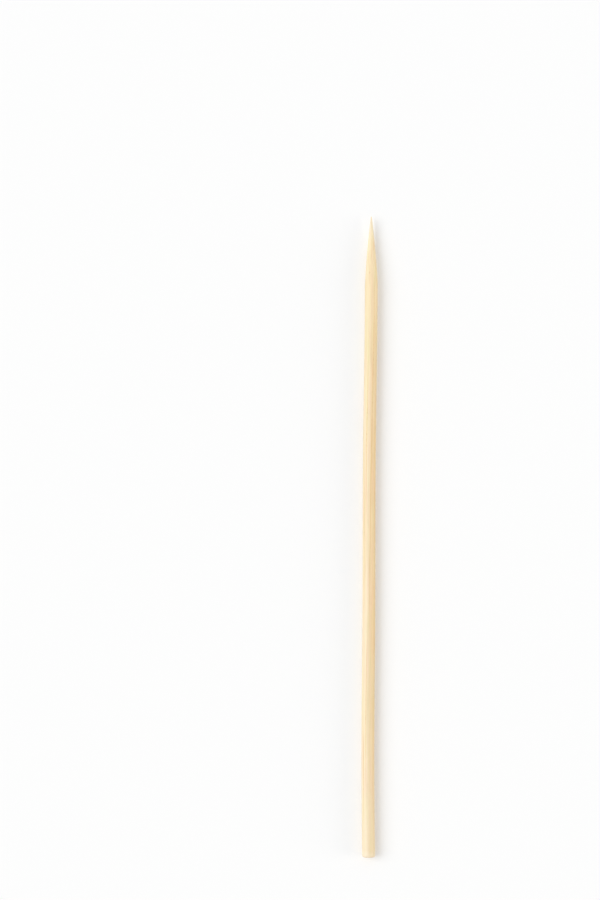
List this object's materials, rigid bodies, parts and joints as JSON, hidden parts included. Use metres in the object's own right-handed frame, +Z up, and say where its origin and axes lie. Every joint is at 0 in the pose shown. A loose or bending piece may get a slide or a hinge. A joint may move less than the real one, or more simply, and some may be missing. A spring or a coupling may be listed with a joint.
{
  "type": "bamboo skewer",
  "caption": "Plain round bamboo skewer with a long ground point at one end and a flat sawn end at the other, for threading and holding food over heat.",
  "frame": {"origin": "on the plane that the skewer lies on, under the middle of its length", "axes": "+Y runs along the skewer towards its point, +Z is up"},
  "size_m": [0.004, 0.2, 0.004],
  "materials": {
    "bamboo": "bare, tumbled smooth, satin"
  },
  "bodies": {
    "root": {"skewer": "bamboo"}
  },
  "joints": []
}
